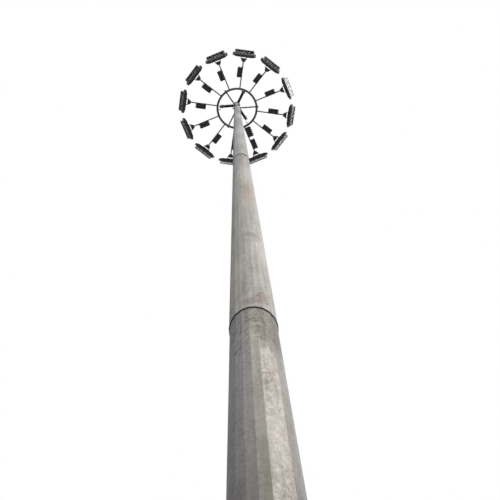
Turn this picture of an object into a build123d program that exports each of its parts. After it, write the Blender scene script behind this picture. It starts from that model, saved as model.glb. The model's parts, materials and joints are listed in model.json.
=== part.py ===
# High mast floodlight tower, 30 m: a twenty-sided galvanised shaft in three slip-jointed sections, a fixed
# head frame with rope pulleys, and a lamp ring that is winched down the shaft for servicing.
# Millimetres, +Z up. The origin is the centre of the underside of the base flange.
from build123d import *
import os
from math import atan, cos, degrees, pi

os.makedirs("parts", exist_ok=True)

# ---------------------------------------------------------------- driving dimensions
# Shaft
SIDES = 20
BASE_FLATS = 632.0  # lower section, across flats at its foot
TAPER = 0.0168  # width across flats lost per length
LOWER_LENGTH = 11100.0
MIDDLE_LENGTH = 10350.0
UPPER_LENGTH = 9700.0
LOWER_OVERLAP = 690.0  # how far the middle section slips over the lower one
UPPER_OVERLAP = 500.0
LOWER_WALL = 8.0
MIDDLE_WALL = 7.0
UPPER_WALL = 5.0
SLIP_GAP = 0.3  # between the faces of a slip joint

# Base
FLANGE_DIAMETER = 900.0
FLANGE_THICKNESS = 40.0
CABLE_HOLE_DIAMETER = 110.0
CABLE_HOLE_SETBACK = 160.0  # behind the shaft's axis
BOLT_CIRCLE = 780.0
BOLT_COUNT = 10
BOLT_HOLE_DIAMETER = 39.0
GUSSET_THICKNESS = 14.0
GUSSET_HEIGHT = 250.0
GUSSET_TOE = 30.0
GUSSET_EDGE = 10.0  # from the gusset's toe to the flange's rim

# Service door
DOOR_SILL = 616.0
DOOR_WIDTH = 230.0
DOOR_HEIGHT = 1100.0
DOOR_BAR = 16.0
DOOR_PROUD = 12.0  # frame in front of the shaft's face at the sill
DOOR_FRAME_DEPTH = 70.0
DOOR_LEDGE = 10.0
DOOR_PANEL_THICKNESS = 5.0
DOOR_PANEL_SINK = 3.0
DOOR_EDGE_GAP = 2.0
DOOR_LOCK_DIAMETER = 32.0
DOOR_LOCK_HEIGHT = 6.0
DOOR_LOCK_INSET = 180.0

# Head frame
HEAD_PLATE_DIAMETER = 184.0
HEAD_PLATE_THICKNESS = 16.0
HEAD_HOLE_DIAMETER = 60.0
ROPE_CIRCLE_RADIUS = 470.0
ROPE_DIAMETER = 8.0
PULLEY_ARM_WIDTH = 68.0
PULLEY_ARM_HEIGHT = 130.0
PULLEY_ARM_WALL = 5.0
PULLEY_ARM_START = 45.0
PULLEY_ARM_NOSE = 25.0  # past the rope
SHEAVE_DIAMETER = 110.0
SHEAVE_WIDTH = 24.0
SHEAVE_GROOVE_DEPTH = 7.0
GROOVE_PLAY = 1.0  # on each side of the rope
SHEAVE_AXLE_DIAMETER = 20.0
SHEAVE_CLEARANCE = 7.0  # from the sheave to the arm's foot
AXLE_END_GAP = 0.3
CAP_DIAMETER = 190.0
CAP_TOP_DIAMETER = 60.0
CAP_HEIGHT = 35.0

# Docking frame
COLLAR_WALL = 8.0
COLLAR_HEIGHT = 60.0
DOCKING_PIPE_DIAMETER = 38.0
DOCKING_STUB = 60.0  # past the ring's centre line
DOCKING_PAD_DIAMETER = 54.0
DOCKING_PAD_DROP = 12.0
DOCKING_GAP = 0.5

# Lamp ring
RING_DROP = 700.0  # ring centre below the shaft's top
RING_RADIUS = 540.0
RING_PIPE_DIAMETER = 60.3
RING_PIPE_WALL = 4.0
SEGMENT_COUNT = 3
JOINT_PLATE_SIZE = 90.0
JOINT_PLATE_THICKNESS = 8.0
ROPE_LUG_THICKNESS = 10.0
ROPE_LUG_DEPTH = 25.0
ROPE_LUG_RISE = 35.0
SOCKET_DIAMETER = 24.0
SOCKET_RISE = 70.0

# Lamp arms and what they carry
LAMP_COUNT = 12
FIRST_LAMP_ANGLE = 12.0
PIVOT_RADIUS = 1410.0
ARM_PIPE_DIAMETER = 33.7
ARM_PIPE_WALL = 3.2
SEAT_GAP = 0.2  # under or beside a round pipe
BRACKET_PLATE = 8.0
BRACKET_SETBACK = 30.0  # front of the cross plate behind the pivot
BRACKET_HALF_HEIGHT = 26.0
FAN_LENGTH = 90.0
FAN_TIP_WIDTH = 76.0
EAR_TIP_RADIUS = 16.0
PIVOT_PIN_DIAMETER = 12.0
PIVOT_PIN_GAP = 0.05
PIVOT_PIN_END = 9.0
BOX_LENGTH = 265.0
BOX_WIDTH = 130.0
BOX_HEIGHT = 90.0
BOX_CENTRE_RADIUS = 994.0
BOX_OFFSET = 62.0
BOX_STRAP_WIDTH = 40.0
BOX_STRAP_THICKNESS = 6.0
BOX_STRAP_REACH = 20.0
JUNCTION_LENGTH = 270.0
JUNCTION_WIDTH = 154.0
JUNCTION_HEIGHT = 110.0
JUNCTION_START = 40.0  # past the ring's centre line
JUNCTION_GAP = 95.0  # to the driver box on the same arm
JUNCTION_ARM = 2  # counted from the first lamp arm

# Floodlight, drawn facing +X with its pivot at the origin, then tipped down
AIM_DOWN = 22.0
SPINE_FRONT_WIDTH = 640.0
SPINE_REAR_WIDTH = 440.0
SPINE_HEIGHT = 120.0
SPINE_DEPTH = 70.0
SPINE_TAPER_DEPTH = 35.0
SPINE_CORNER = 14.0
SPINE_WALL = 5.0
SPINE_REAR = 22.0  # rear face in front of the pivot
PANEL_WIDTH = 530.0
PANEL_HEIGHT = 290.0
PANEL_DEPTH = 55.0
PANEL_CORNER = 14.0
PANEL_WALL = 8.0
PANEL_BACK = 6.0
PANEL_LIP = 3.0
WINDOW_WIDTH = 480.0
WINDOW_HEIGHT = 240.0
GLASS_THICKNESS = 5.0
GLASS_EDGE_GAP = 0.3
FIN_COUNT = 11
FIN_THICKNESS = 4.0
FIN_DEPTH = 40.0
FIN_INSET = 10.0  # from the panel's edges
LUG_THICKNESS = 14.0
LUG_GAP = 1.0  # between a lug and its ear
LUG_HALF_SPAN = 80.0

# ---------------------------------------------------------------- derived places
TAPER_ANGLE = degrees(atan(TAPER / 2))
CORNER_RATIO = 1 / cos(pi / SIDES)
STANDING = (Align.CENTER, Align.CENTER, Align.MIN)  # round parts rise from their foot

lower_foot = FLANGE_THICKNESS
lower_rim = lower_foot + LOWER_LENGTH - LOWER_OVERLAP
upper_rim = lower_rim + MIDDLE_LENGTH - UPPER_OVERLAP
mast_top = upper_rim + UPPER_LENGTH


def flats_after(flats, length):
    """Width across flats of a tapered section, a length above the place where it is flats wide."""
    return flats - TAPER * length


middle_flats = flats_after(BASE_FLATS, lower_rim - lower_foot) + 2 * (SLIP_GAP + MIDDLE_WALL)
upper_flats = flats_after(middle_flats, upper_rim - lower_rim) + 2 * (SLIP_GAP + UPPER_WALL)

head_top = mast_top + HEAD_PLATE_THICKNESS
arms_top = head_top + PULLEY_ARM_HEIGHT
sheave_z = head_top + SHEAVE_CLEARANCE + SHEAVE_DIAMETER / 2
groove_radius = SHEAVE_DIAMETER / 2 - SHEAVE_GROOVE_DEPTH
sheave_r = ROPE_CIRCLE_RADIUS - groove_radius - ROPE_DIAMETER / 2 - AXLE_END_GAP

ring_z = mast_top - RING_DROP
ring_pipe_r = RING_PIPE_DIAMETER / 2
plate_top = ring_z + JOINT_PLATE_SIZE / 2
docking_z = plate_top + DOCKING_GAP + DOCKING_PAD_DROP + DOCKING_PIPE_DIAMETER / 2

segment_angle = 360.0 / SEGMENT_COUNT
lamp_step = 360.0 / LAMP_COUNT
lamp_angles = [FIRST_LAMP_ANGLE + lamp_step * i for i in range(LAMP_COUNT)]
docking_angles = [segment_angle * i for i in range(SEGMENT_COUNT)]
rope_angles = [angle + segment_angle / 2 for angle in docking_angles]

pipe_underside = ring_z - ARM_PIPE_DIAMETER / 2 - SEAT_GAP
spine_front = SPINE_REAR + SPINE_DEPTH
panel_front = spine_front + PANEL_DEPTH


def turned(shape, angle):
    """A copy of a shape turned about the mast's axis."""
    return Rot(0, 0, angle) * shape


def block(x0, x1, y0, y1, z0, z1):
    """A box between two corners."""
    return Pos((x0 + x1) / 2, (y0 + y1) / 2, (z0 + z1) / 2) * Box(x1 - x0, y1 - y0, z1 - z0)


def rod(start, direction, diameter, length):
    """A round bar from a start point along a direction."""
    return extrude(Plane(start, z_dir=direction) * Circle(diameter / 2), amount=length)


def tapered(flats, foot, length):
    """A solid many-sided prism that narrows upwards, with a flat face towards the front."""
    outline = Pos(0, 0, foot) * RegularPolygon(flats / 2, SIDES, major_radius=False, rotation=180 / SIDES)
    return extrude(outline, amount=length, taper=TAPER_ANGLE)


def shaft(flats, foot, length, wall):
    """A tapered tube of even wall."""
    return tapered(flats, foot, length) - tapered(flats - 2 * wall, foot, length)


def write(name, *solids):
    """Write one node; several solids that don't touch may share it."""
    shape = solids[0] if len(solids) == 1 else Compound(children=list(solids))
    shape.label = name
    export_step(shape, "parts/" + name + ".step")


# ---------------------------------------------------------------- base
def base_flange():
    plate = Cylinder(FLANGE_DIAMETER / 2, FLANGE_THICKNESS, align=STANDING)
    plate -= Pos(0, CABLE_HOLE_SETBACK, 0) * Cylinder(CABLE_HOLE_DIAMETER / 2, 3 * FLANGE_THICKNESS)
    hole_step = 360.0 / BOLT_COUNT
    for i in range(BOLT_COUNT):
        hole = Pos(BOLT_CIRCLE / 2, 0, 0) * Cylinder(BOLT_HOLE_DIAMETER / 2, 3 * FLANGE_THICKNESS)
        plate -= turned(hole, hole_step * (i + 0.5))
    return plate


def base_gussets():
    """Ribs between the bolts, each square to a flat of the shaft."""
    toe_r = FLANGE_DIAMETER / 2 - GUSSET_EDGE
    heel_r = BASE_FLATS / 2 + GUSSET_TOE
    outline = Polyline(
        (BASE_FLATS / 2 - GUSSET_TOE, lower_foot),
        (toe_r, lower_foot),
        (toe_r, lower_foot + GUSSET_TOE),
        (heel_r, lower_foot + GUSSET_HEIGHT),
        (BASE_FLATS / 2 - GUSSET_TOE, lower_foot + GUSSET_HEIGHT),
        close=True,
    )
    rib = extrude(Plane.XZ * make_face(outline), amount=GUSSET_THICKNESS / 2, both=True)
    rib -= tapered(BASE_FLATS, lower_foot, LOWER_LENGTH)
    return [turned(rib, 360.0 / BOLT_COUNT * i) for i in range(BOLT_COUNT)]


door_front = -flats_after(BASE_FLATS, DOOR_SILL - lower_foot) / 2 - DOOR_PROUD
door_frame_back = door_front + DOOR_FRAME_DEPTH
door_seat = door_front + DOOR_PANEL_SINK + DOOR_PANEL_THICKNESS + SLIP_GAP


def door_box(margin, y0, y1):
    """The door's rectangle, grown by a margin, between two depths."""
    half = DOOR_WIDTH / 2 + margin
    return block(-half, half, y0, y1, DOOR_SILL - margin, DOOR_SILL + DOOR_HEIGHT + margin)


def door_frame():
    frame = door_box(DOOR_BAR, door_front, door_frame_back)
    frame -= door_box(0, door_front, door_seat)
    return frame - door_box(-DOOR_LEDGE, door_seat, door_frame_back)


def door_panel():
    """Closed cover plate with two key locks."""
    face = door_front + DOOR_PANEL_SINK
    panel = door_box(-DOOR_EDGE_GAP, face, face + DOOR_PANEL_THICKNESS)
    for z in (DOOR_SILL + DOOR_LOCK_INSET, DOOR_SILL + DOOR_HEIGHT - DOOR_LOCK_INSET):
        boss_length = DOOR_LOCK_HEIGHT + DOOR_PANEL_THICKNESS
        panel += rod((0, face + DOOR_PANEL_THICKNESS, z), (0, -1, 0), DOOR_LOCK_DIAMETER, boss_length)
    return panel


def mast_section_lower():
    tube = shaft(BASE_FLATS, lower_foot, LOWER_LENGTH, LOWER_WALL)
    return tube - door_box(DOOR_BAR, door_front, 0)


write("base_flange", base_flange())
write("base_gussets", *base_gussets())
write("mast_section_lower", mast_section_lower())
write("door_frame", door_frame())
write("door_panel", door_panel())
write("mast_section_middle", shaft(middle_flats, lower_rim, MIDDLE_LENGTH, MIDDLE_WALL))
write("mast_section_upper", shaft(upper_flats, upper_rim, UPPER_LENGTH, UPPER_WALL))


# ---------------------------------------------------------------- head frame
def head_plate():
    plate = Cylinder(HEAD_PLATE_DIAMETER / 2, HEAD_PLATE_THICKNESS, align=STANDING)
    plate -= Cylinder(HEAD_HOLE_DIAMETER / 2, 3 * HEAD_PLATE_THICKNESS)
    return Pos(0, 0, mast_top) * plate


def pulley_arm():
    """Folded channel, open below, that covers its sheave."""
    half = PULLEY_ARM_WIDTH / 2
    end = ROPE_CIRCLE_RADIUS + PULLEY_ARM_NOSE
    arm = block(PULLEY_ARM_START, end, -half, half, head_top, arms_top)
    inner = half - PULLEY_ARM_WALL
    return arm - block(PULLEY_ARM_START, end, -inner, inner, head_top, arms_top - PULLEY_ARM_WALL)


def pulley_sheave():
    """Grooved wheel on its axle, which ends just inside the arm's cheeks."""
    half = SHEAVE_WIDTH / 2
    throat = ROPE_DIAMETER / 2 + GROOVE_PLAY
    rim = SHEAVE_DIAMETER / 2
    profile = Polyline(
        (0, -half), (rim, -half), (rim, -throat), (groove_radius, -throat),
        (groove_radius, throat), (rim, throat), (rim, half), (0, half), close=True,
    )
    wheel = revolve(make_face(profile), axis=Axis.Y)
    axle = PULLEY_ARM_WIDTH - 2 * (PULLEY_ARM_WALL + AXLE_END_GAP)
    wheel += rod((0, -axle / 2, 0), (0, 1, 0), SHEAVE_AXLE_DIAMETER, axle)
    return Pos(sheave_r, 0, sheave_z) * wheel


def mast_cap():
    """Low weather cone over the pulley arms' roots."""
    cone = Cone(CAP_DIAMETER / 2, CAP_TOP_DIAMETER / 2, CAP_HEIGHT, align=STANDING)
    return Pos(0, 0, arms_top) * cone


collar_flats = flats_after(upper_flats, docking_z - COLLAR_HEIGHT / 2 - upper_rim)
collar_radius = collar_flats * CORNER_RATIO / 2 + SLIP_GAP + COLLAR_WALL


def docking_collar():
    """Sleeve clamped round the shaft, cut to its sides."""
    foot = docking_z - COLLAR_HEIGHT / 2
    sleeve = Pos(0, 0, docking_z) * Cylinder(collar_radius, COLLAR_HEIGHT)
    return sleeve - tapered(collar_flats + 2 * SLIP_GAP, foot, COLLAR_HEIGHT)


def docking_arm():
    """Pipe that stops the ring, with a pad over the ring's joint plates."""
    length = RING_RADIUS + DOCKING_STUB - collar_radius
    arm = rod((collar_radius, 0, docking_z), (1, 0, 0), DOCKING_PIPE_DIAMETER, length)
    pad_foot = plate_top + DOCKING_GAP
    pad = rod((RING_RADIUS, 0, pad_foot), (0, 0, 1), DOCKING_PAD_DIAMETER, docking_z - pad_foot)
    return arm + pad


write("head_plate", head_plate())
write("pulley_arms", *[turned(pulley_arm(), angle) for angle in rope_angles])
write("pulley_sheaves", *[turned(pulley_sheave(), angle) for angle in rope_angles])
write("mast_cap", mast_cap())
write("docking_collar", docking_collar())
write("docking_arms", *[turned(docking_arm(), angle) for angle in docking_angles])


# ---------------------------------------------------------------- lamp ring
def ring_segment():
    """A third of the ring, from the +X side onwards, with joint plates and a lug for its rope."""
    section = Pos(RING_RADIUS, ring_z) * (Circle(ring_pipe_r) - Circle(ring_pipe_r - RING_PIPE_WALL))
    pipe = revolve(Plane.XZ * section, axis=Axis.Z, revolution_arc=segment_angle)
    half = JOINT_PLATE_SIZE / 2
    first = block(
        RING_RADIUS - half, RING_RADIUS + half, 0, JOINT_PLATE_THICKNESS, ring_z - half, ring_z + half
    )
    last = turned(mirror(first, about=Plane.XZ), segment_angle)
    lug = block(
        ROPE_CIRCLE_RADIUS - SOCKET_DIAMETER / 2,
        RING_RADIUS - ring_pipe_r + RING_PIPE_WALL / 2,
        -ROPE_LUG_THICKNESS / 2,
        ROPE_LUG_THICKNESS / 2,
        ring_z - ROPE_LUG_DEPTH,
        ring_z + ROPE_LUG_RISE,
    )
    socket_length = SOCKET_RISE + ROPE_LUG_DEPTH
    socket = rod((ROPE_CIRCLE_RADIUS, 0, ring_z - ROPE_LUG_DEPTH), (0, 0, 1), SOCKET_DIAMETER, socket_length)
    return pipe + first + last + turned(lug + socket, segment_angle / 2)


def hoist_rope():
    """Wire rope from its socket on the ring to the side of its sheave."""
    foot = ring_z + SOCKET_RISE
    return rod((ROPE_CIRCLE_RADIUS, 0, foot), (0, 0, 1), ROPE_DIAMETER, sheave_z - foot)


for number, angle in enumerate(docking_angles, start=1):
    write("ring_segment_%d" % number, turned(ring_segment(), angle))
write("hoist_ropes", *[turned(hoist_rope(), angle) for angle in rope_angles])


# ---------------------------------------------------------------- lamp arms, brackets and boxes
def lamp_arm():
    """Pipe welded to the outside of the ring and to the bracket's cross plate."""
    end = PIVOT_RADIUS - BRACKET_SETBACK - BRACKET_PLATE
    length = end - RING_RADIUS
    pipe = rod((RING_RADIUS, 0, ring_z), (1, 0, 0), ARM_PIPE_DIAMETER, length)
    pipe -= rod((RING_RADIUS, 0, ring_z), (1, 0, 0), ARM_PIPE_DIAMETER - 2 * ARM_PIPE_WALL, length)
    return pipe - Pos(0, 0, ring_z) * Torus(RING_RADIUS, ring_pipe_r + SEAT_GAP)


def lamp_bracket():
    """Fan plate under the pipe's end, cross plate, two ears and the pivot pin."""
    ear_in = LUG_HALF_SPAN + LUG_GAP
    ear_out = ear_in + BRACKET_PLATE
    front = PIVOT_RADIUS - BRACKET_SETBACK
    back = front - BRACKET_PLATE
    tall = BRACKET_HALF_HEIGHT
    bracket = block(back, front, -ear_out, ear_out, ring_z - tall, ring_z + tall)
    tip = back - FAN_LENGTH
    fan = make_face(
        Polyline(
            (tip, -FAN_TIP_WIDTH / 2), (back, -ear_out), (front, -ear_out),
            (front, ear_out), (back, ear_out), (tip, FAN_TIP_WIDTH / 2), close=True,
        )
    )
    bracket += extrude(Pos(0, 0, pipe_underside - BRACKET_PLATE) * fan, amount=BRACKET_PLATE)
    for side in (-1, 1):
        y0, y1 = sorted((side * ear_in, side * ear_out))
        bracket += block(front, PIVOT_RADIUS, y0, y1, ring_z - EAR_TIP_RADIUS, ring_z + EAR_TIP_RADIUS)
        bracket += rod((PIVOT_RADIUS, y0, ring_z), (0, 1, 0), 2 * EAR_TIP_RADIUS, BRACKET_PLATE)
    pin_half = ear_out + PIVOT_PIN_END
    bracket += rod((PIVOT_RADIUS, -pin_half, ring_z), (0, 1, 0), PIVOT_PIN_DIAMETER, 2 * pin_half)
    return bracket


def hung_box(length, width, height, centre):
    """Box hung under a lamp arm by two straps, set over to one side of the pipe."""
    strap_foot = pipe_underside - BOX_STRAP_THICKNESS
    y0 = -BOX_OFFSET - width / 2
    box = block(centre - length / 2, centre + length / 2, y0, y0 + width, strap_foot - height, strap_foot)
    for side in (-1, 1):
        middle = centre + side * (length / 2 - BOX_STRAP_WIDTH)
        box += block(
            middle - BOX_STRAP_WIDTH / 2,
            middle + BOX_STRAP_WIDTH / 2,
            y0 + width / 2,
            BOX_STRAP_REACH,
            strap_foot,
            pipe_underside,
        )
    return box


def driver_box(arm):
    """The driver box of one arm; the arm with the junction box carries its own further out."""
    centre = outer_box_centre if arm == JUNCTION_ARM else BOX_CENTRE_RADIUS
    return turned(hung_box(BOX_LENGTH, BOX_WIDTH, BOX_HEIGHT, centre), lamp_angles[arm])


junction_centre = RING_RADIUS + JUNCTION_START + JUNCTION_LENGTH / 2
outer_box_centre = junction_centre + JUNCTION_LENGTH / 2 + JUNCTION_GAP + BOX_LENGTH / 2
junction_box = hung_box(JUNCTION_LENGTH, JUNCTION_WIDTH, JUNCTION_HEIGHT, junction_centre)

write("lamp_arms", *[turned(lamp_arm(), angle) for angle in lamp_angles])
write("lamp_brackets", *[turned(lamp_bracket(), angle) for angle in lamp_angles])
write("driver_boxes", *[driver_box(arm) for arm in range(LAMP_COUNT)])
write("junction_box", turned(junction_box, lamp_angles[JUNCTION_ARM]))


# ---------------------------------------------------------------- floodlights
def spine():
    """Hollow casting across the back of the lamp, tapered in plan towards its rear."""
    shoulder = SPINE_REAR + SPINE_TAPER_DEPTH
    front_half = SPINE_FRONT_WIDTH / 2
    rear_half = SPINE_REAR_WIDTH / 2
    outline = make_face(
        Polyline(
            (SPINE_REAR, -rear_half), (shoulder, -front_half), (spine_front, -front_half),
            (spine_front, front_half), (shoulder, front_half), (SPINE_REAR, rear_half), close=True,
        )
    )
    outline = fillet(outline.vertices(), SPINE_CORNER)
    height = SPINE_HEIGHT
    body = extrude(Pos(0, 0, -height / 2) * outline, amount=height)
    hollow = offset(outline, amount=-SPINE_WALL)
    height -= 2 * SPINE_WALL
    return body - extrude(Pos(0, 0, -height / 2) * hollow, amount=height)


def panel():
    """Shallow lamp case behind a lipped window."""
    outline = Plane.YZ * RectangleRounded(PANEL_WIDTH, PANEL_HEIGHT, PANEL_CORNER)
    case = Pos(spine_front, 0, 0) * extrude(outline, amount=PANEL_DEPTH)
    half_w = PANEL_WIDTH / 2 - PANEL_WALL
    half_h = PANEL_HEIGHT / 2 - PANEL_WALL
    case -= block(spine_front + PANEL_BACK, panel_front - PANEL_LIP, -half_w, half_w, -half_h, half_h)
    win_w = WINDOW_WIDTH / 2
    win_h = WINDOW_HEIGHT / 2
    return case - block(panel_front - PANEL_LIP, panel_front, -win_w, win_w, -win_h, win_h)


def fins():
    """Upright cooling fins on the back of the case."""
    reach = PANEL_WIDTH / 2 - FIN_INSET - FIN_THICKNESS / 2
    half_h = PANEL_HEIGHT / 2 - FIN_INSET
    spine_half = SPINE_HEIGHT / 2
    rows = []
    for i in range(FIN_COUNT):
        y = -reach + 2 * reach * i / (FIN_COUNT - 1)
        y0 = y - FIN_THICKNESS / 2
        y1 = y + FIN_THICKNESS / 2
        for z0, z1 in ((-half_h, -spine_half), (spine_half, half_h)):
            rows.append(block(spine_front - FIN_DEPTH, spine_front, y0, y1, z0, z1))
    return rows


def lugs():
    """Two ears that turn on the bracket's pin."""
    pair = []
    for side in (-1, 1):
        y0, y1 = sorted((side * LUG_HALF_SPAN, side * (LUG_HALF_SPAN - LUG_THICKNESS)))
        lug = block(0, SPINE_REAR + SPINE_WALL / 2, y0, y1, -EAR_TIP_RADIUS, EAR_TIP_RADIUS)
        lug += rod((0, y0, 0), (0, 1, 0), 2 * EAR_TIP_RADIUS, LUG_THICKNESS)
        pair.append(lug - rod((0, y0, 0), (0, 1, 0), PIVOT_PIN_DIAMETER + 2 * PIVOT_PIN_GAP, LUG_THICKNESS))
    return pair


def floodlight():
    return spine() + panel() + fins() + lugs()


def floodlight_glass():
    half_w = PANEL_WIDTH / 2 - PANEL_WALL - GLASS_EDGE_GAP
    half_h = PANEL_HEIGHT / 2 - PANEL_WALL - GLASS_EDGE_GAP
    front = panel_front - PANEL_LIP
    return block(front - GLASS_THICKNESS, front, -half_w, half_w, -half_h, half_h)


aimed = Pos(PIVOT_RADIUS, 0, ring_z) * Rot(0, AIM_DOWN, 0)
lamp_body = aimed * floodlight()
lamp_glass = aimed * floodlight_glass()
for number, angle in enumerate(lamp_angles, start=1):
    write("floodlight_%d" % number, turned(lamp_body, angle))
    write("floodlight_glass_%d" % number, turned(lamp_glass, angle))
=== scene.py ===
"""The finish and small parts of a 30 m high mast floodlight tower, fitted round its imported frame.

Metres, +Z up. The origin is the centre of the base flange's underside, and the service door faces -Y.
"""

import json
from math import cos, pi, radians, sin

import bpy
import numpy as np
from mathutils import Matrix, Vector


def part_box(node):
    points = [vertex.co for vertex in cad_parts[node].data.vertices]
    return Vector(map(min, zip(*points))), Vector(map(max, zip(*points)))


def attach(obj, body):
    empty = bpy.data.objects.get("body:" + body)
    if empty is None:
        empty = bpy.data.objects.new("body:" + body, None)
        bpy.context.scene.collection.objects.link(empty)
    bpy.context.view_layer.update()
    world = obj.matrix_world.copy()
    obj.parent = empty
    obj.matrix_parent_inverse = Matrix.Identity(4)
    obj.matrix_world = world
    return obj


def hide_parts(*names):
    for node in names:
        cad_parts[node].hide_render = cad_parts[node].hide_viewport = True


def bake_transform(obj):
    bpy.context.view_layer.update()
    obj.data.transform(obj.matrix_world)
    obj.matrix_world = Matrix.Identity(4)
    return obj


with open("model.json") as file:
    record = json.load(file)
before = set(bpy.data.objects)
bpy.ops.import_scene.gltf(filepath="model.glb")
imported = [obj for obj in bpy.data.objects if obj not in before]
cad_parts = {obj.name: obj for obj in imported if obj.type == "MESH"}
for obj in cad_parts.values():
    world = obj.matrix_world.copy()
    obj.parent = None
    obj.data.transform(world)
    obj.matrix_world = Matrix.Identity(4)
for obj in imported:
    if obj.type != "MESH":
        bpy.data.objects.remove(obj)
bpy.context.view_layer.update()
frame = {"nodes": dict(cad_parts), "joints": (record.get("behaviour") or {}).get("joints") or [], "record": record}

# ---------------- viewpoint
# Someone three metres in front of the service door looks almost straight up the shaft. The short telephoto
# lens takes in the mast from about six metres above the ground to its top.
EYE = (0.0, -3.1905, 1.138)
LOOK_RIGHT = radians(0.516)
LOOK_UP = radians(75.577)
HEAD_TILT = radians(-4.794)


def set_up(name, data):
    """A new object in the scene."""
    made = bpy.data.objects.new(name, data)
    bpy.context.scene.collection.objects.link(made)
    return made


camera = set_up("camera", bpy.data.cameras.new("camera"))
camera.data.sensor_width = 36.0
camera.data.lens = 73.19
camera.data.clip_end = 400.0
camera.matrix_world = (
    Matrix.Translation(EYE)
    @ Matrix.Rotation(-LOOK_RIGHT, 4, "Z")
    @ Matrix.Rotation(pi / 2 + LOOK_UP, 4, "X")
    @ Matrix.Rotation(HEAD_TILT, 4, "Z")
)
bpy.context.scene.camera = camera
bpy.context.scene.view_settings.view_transform = "Standard"


# ---------------- daylight
# A bright overcast sky: its brightest patch high on the right, with a duller one past it, and broad cool
# light from in front and from behind. What is seen past the mast is white.
def light(name, turn, height, spread, strength, colour):
    """A broad distant light, its turn to the right of the door, height and spread given in degrees."""
    lamp = bpy.data.lights.new(name, "SUN")
    lamp.angle = radians(spread)
    lamp.energy = strength
    lamp.color = colour
    turn, height = radians(turn), radians(height)
    towards = Vector((sin(turn) * cos(height), -cos(turn) * cos(height), sin(height)))
    set_up(name, lamp).rotation_euler = towards.to_track_quat("Z", "Y").to_euler()


light("sky_right", 80, 46, 11, 2.0, (1.0, 0.975, 0.94))
light("sky_far_right", 126, 52, 34, 0.8, (1.0, 0.985, 0.96))
light("sky_front", 10, 30, 80, 2.15, (0.97, 0.98, 1.0))
light("sky_behind", 186, 38, 50, 1.25, (0.94, 0.97, 1.0))

SKY_STRENGTH = 0.05
SKY_COLOUR = (0.9, 0.96, 1.0, 1.0)
WHITE = (1.0, 1.0, 1.0, 1.0)


def linear(code):
    """The linear colour of an sRGB hex value."""
    channels = np.array([int(code[i : i + 2], 16) for i in (1, 3, 5)]) / 255
    curve = np.where(channels <= 0.04045, channels / 12.92, ((channels + 0.055) / 1.055) ** 2.4)
    return (*curve.tolist(), 1.0)


def add(tree, kind, **settings):
    """Add a node. A setting named like one of its inputs is linked or set there, any other is a property.

    A node given as a value stands for its first output in use, and a hex value for its colour.
    """
    made = tree.nodes.new("ShaderNode" + kind)
    for name, value in settings.items():
        sockets = {socket.identifier.replace(" ", "_"): socket for socket in made.inputs}
        if name not in sockets:
            setattr(made, name, value)
        elif isinstance(value, bpy.types.Node):
            tree.links.new(next(out for out in value.outputs if out.enabled), sockets[name])
        elif isinstance(value, bpy.types.NodeSocket):
            tree.links.new(value, sockets[name])
        else:
            sockets[name].default_value = linear(value) if isinstance(value, str) else value
    return made


def shown_directly(tree):
    """1 where a ray comes straight from the viewer or by a mirror or through glass, else 0."""
    path = add(tree, "LightPath").outputs
    seen = path["Is Camera Ray"]
    for ray in ("Is Glossy Ray", "Is Transmission Ray"):
        seen = add(tree, "Math", operation="MAXIMUM", Value=seen, Value_001=path[ray])
    return seen


bpy.context.scene.world = bpy.data.worlds.new("overcast_sky")
bpy.context.scene.world.use_nodes = True
sky = bpy.context.scene.world.node_tree
sky.nodes.clear()
dim = add(sky, "Background", Color=SKY_COLOUR, Strength=SKY_STRENGTH)
bright = add(sky, "Background", Color=WHITE)
seen_sky = add(sky, "MixShader", Fac=shown_directly(sky), Shader=dim, Shader_001=bright)
add(sky, "OutputWorld", Surface=seen_sky)

# ---------------- floor
# A studio floor in pale matt paint keeps the mast's shadow, and runs out into the white far away. It is the
# mast's setting and not a part of it.
FLOOR_RADIUS = 260.0
FLOOR_SIDES = 96
FADE_START = 45.0
FADE_END = 160.0


def new_material(name):
    """A node material with nothing in it yet, its tree, and the Object coordinates in it."""
    material = bpy.data.materials.new(name)
    material.use_nodes = True
    material.node_tree.nodes.clear()
    return material, material.node_tree, add(material.node_tree, "TexCoord").outputs["Object"]


def floor_paint():
    """Matt pale paint, given as darker to the light that it throws back up, and white in the distance."""
    material, tree, here = new_material("pale_floor_paint")
    seen = shown_directly(tree)
    colour = add(tree, "Mix", data_type="RGBA", Factor_Float=seen, A_Color="#7C7B79", B_Color="#F0EFEC")
    paint = add(tree, "BsdfDiffuse", Color=colour)
    white = add(tree, "Emission", Color=WHITE)
    reach = add(tree, "VectorMath", operation="LENGTH", Vector=here)
    far = add(tree, "MapRange", Value=reach.outputs["Value"], From_Min=FADE_START, From_Max=FADE_END)
    far = add(tree, "Math", operation="MULTIPLY", Value=far, Value_001=seen)
    add(tree, "OutputMaterial", Surface=add(tree, "MixShader", Fac=far, Shader=paint, Shader_001=white))
    return material


def circle(steps):
    """Even turns round a circle."""
    return np.arange(steps) * 2 * pi / steps


def about_z(radius, height, turn):
    """Points about Z: the radius times the cosine and the sine of the turn, and the height."""
    return np.stack(np.broadcast_arrays(radius * np.cos(turn), radius * np.sin(turn), height), axis=-1)


floor = set_up("floor", bpy.data.meshes.new("floor"))
floor_rim = about_z(FLOOR_RADIUS, -0.001, circle(FLOOR_SIDES))
floor.data.from_pydata(floor_rim.tolist(), [], [list(range(FLOOR_SIDES))])
floor.data.materials.append(floor_paint())

# ---------------- base flange and gussets
# A 40 mm flame-cut plate and ten ribs, welded to the shaft's foot and hot-dip galvanised with it. Years of
# weather have dulled the zinc to a matt grey patina, in which its crystals still show faintly.
CRYSTAL = 0.022
CLOUD = 0.45
RUN_WIDTH = 0.035


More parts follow.
